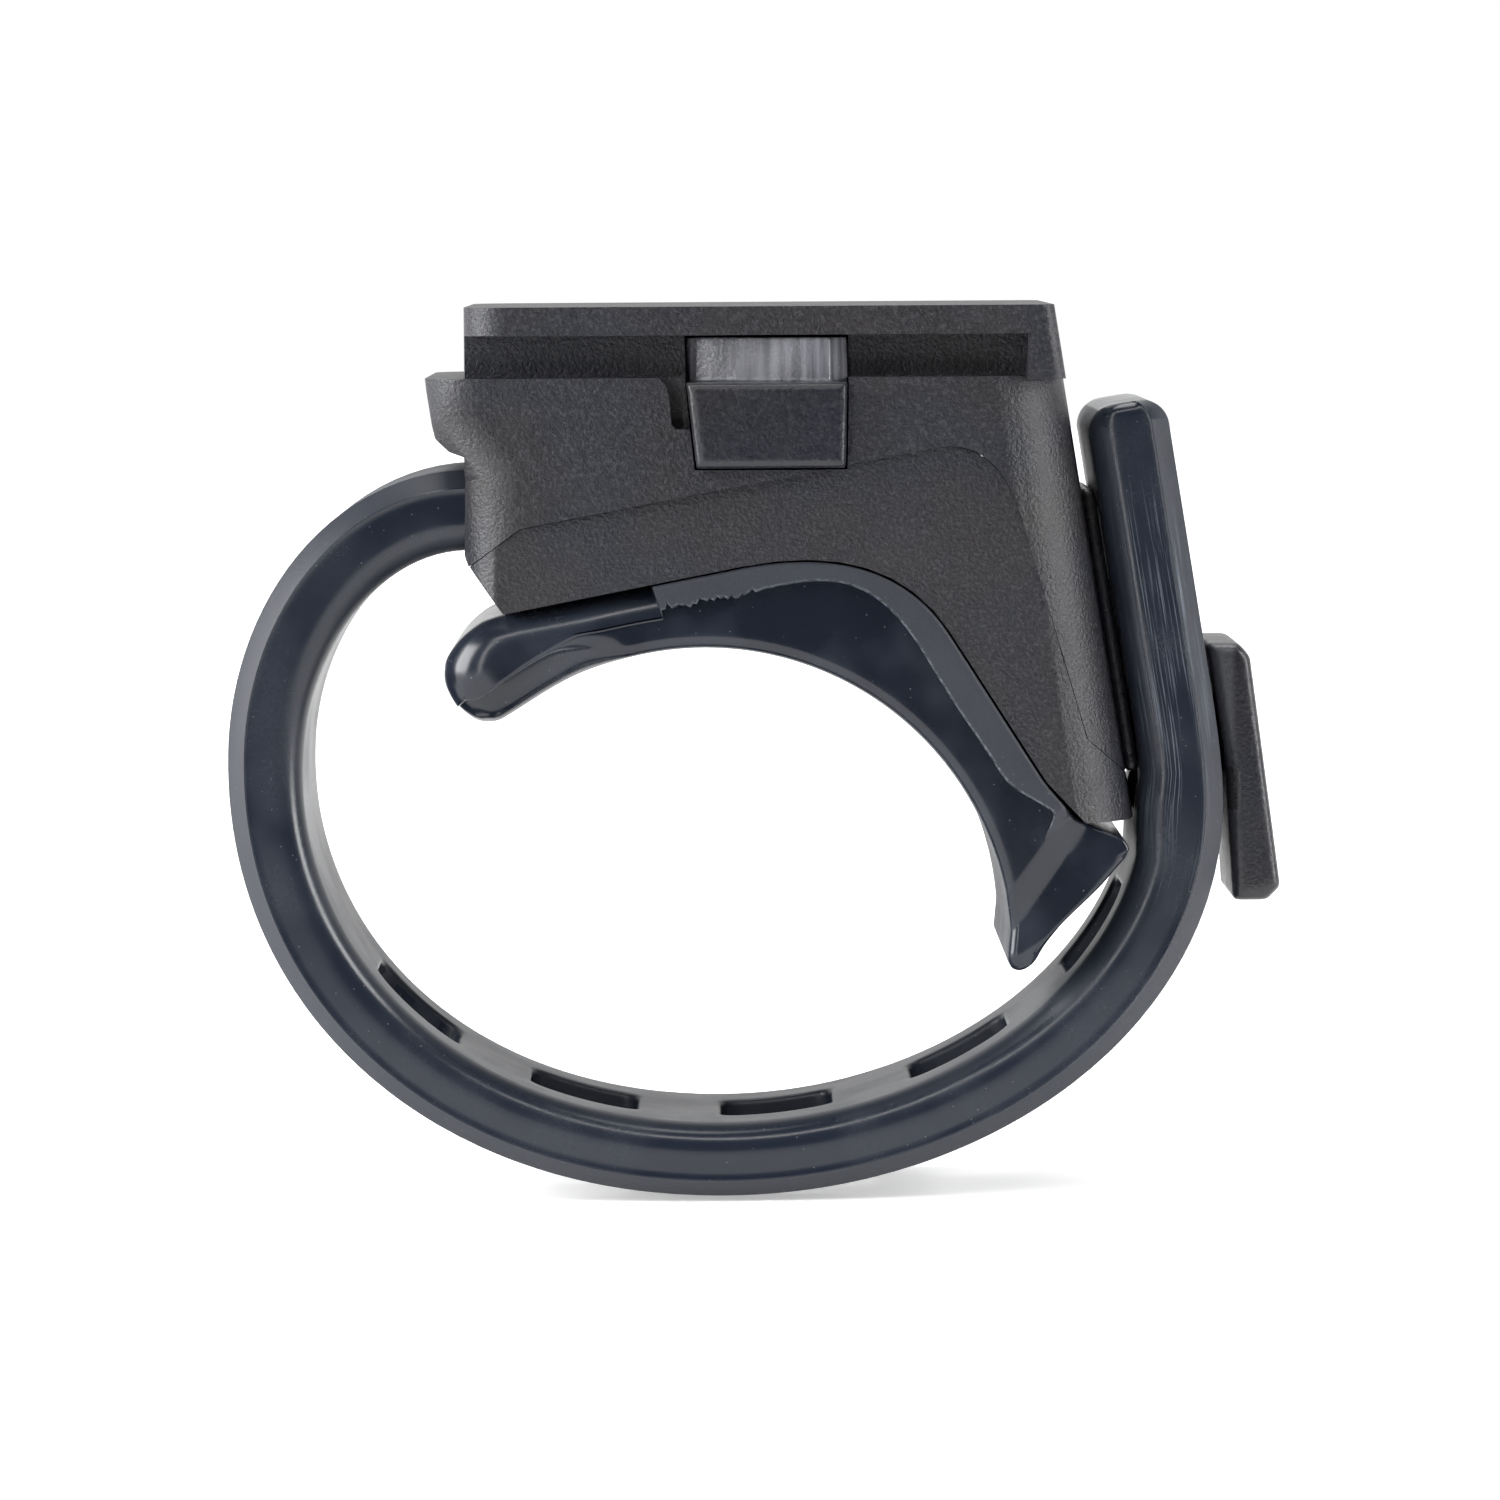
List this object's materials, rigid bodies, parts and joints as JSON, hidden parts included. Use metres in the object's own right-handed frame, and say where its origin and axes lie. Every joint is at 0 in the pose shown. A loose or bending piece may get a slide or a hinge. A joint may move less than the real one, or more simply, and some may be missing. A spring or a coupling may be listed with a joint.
{
  "type": "handlebar mount bracket",
  "caption": "Strap-on handlebar bracket with a slide-on accessory rail, side release buttons, rubber saddle pad and slotted rubber strap hooked on the leg.",
  "frame": {"origin": "on the handlebar's axis, at the centre of the saddle pad's seat arc and of the part's width", "axes": "+X from the strap's closed end towards the hook, +Y along the handlebar, +Z from the bar up to the accessory rail"},
  "size_m": [0.0562, 0.024, 0.0474],
  "materials": {
    "body_plastic": "satin black glass-filled moulding with a fine spark texture",
    "button_plastic": "black moulding, rubbed to a soft gloss",
    "hook_plastic": "satin black moulding",
    "pad_rubber": "smooth blue-black rubber with a wet-looking sheen",
    "strap_rubber": "smooth blue-black rubber with fine specks",
    "spring_steel": "drawn spring wire",
    "screw_steel": "zinc-plated steel"
  },
  "bodies": {
    "bracket": {"upper_housing": "body_plastic", "lower_bracket": "body_plastic", "saddle_pad": "pad_rubber", "strap_loop": "strap_rubber", "strap_anchor_pin": "screw_steel", "strap_hook": "hook_plastic", "hook_screw": "screw_steel", "case_screw_left_front": "screw_steel", "case_screw_left_rear": "screw_steel", "case_screw_right_front": "screw_steel", "case_screw_right_rear": "screw_steel", "latch_spring_front_left": "spring_steel", "latch_spring_front_right": "spring_steel", "latch_spring_rear_left": "spring_steel", "latch_spring_rear_right": "spring_steel"},
    "front_button": {"latch_button_front": "button_plastic"},
    "rear_button": {"latch_button_rear": "button_plastic"},
    "strap_end": {"strap_tail": "strap_rubber"}
  },
  "joints": [
    {"name": "front_button_press", "type": "slide", "parent": "bracket", "child": "front_button", "axis": [0, 1, 0], "range_m": [0, 0.0017], "stiffness_N_per_m": 150, "springref_m": -0.002, "deforming": ["latch_spring_front_left", "latch_spring_front_right"]},
    {"name": "rear_button_press", "type": "slide", "parent": "bracket", "child": "rear_button", "axis": [0, -1, 0], "range_m": [0, 0.0017], "stiffness_N_per_m": 150, "springref_m": -0.002, "deforming": ["latch_spring_rear_left", "latch_spring_rear_right"]},
    {"name": "strap_end_pull", "type": "hinge", "parent": "bracket", "child": "strap_end", "pos_m": [0.02649, 0, 0.01702], "axis": [0, 1, 0], "range_deg": [0, 40], "stiffness_Nm_per_rad": 0.01}
  ]
}
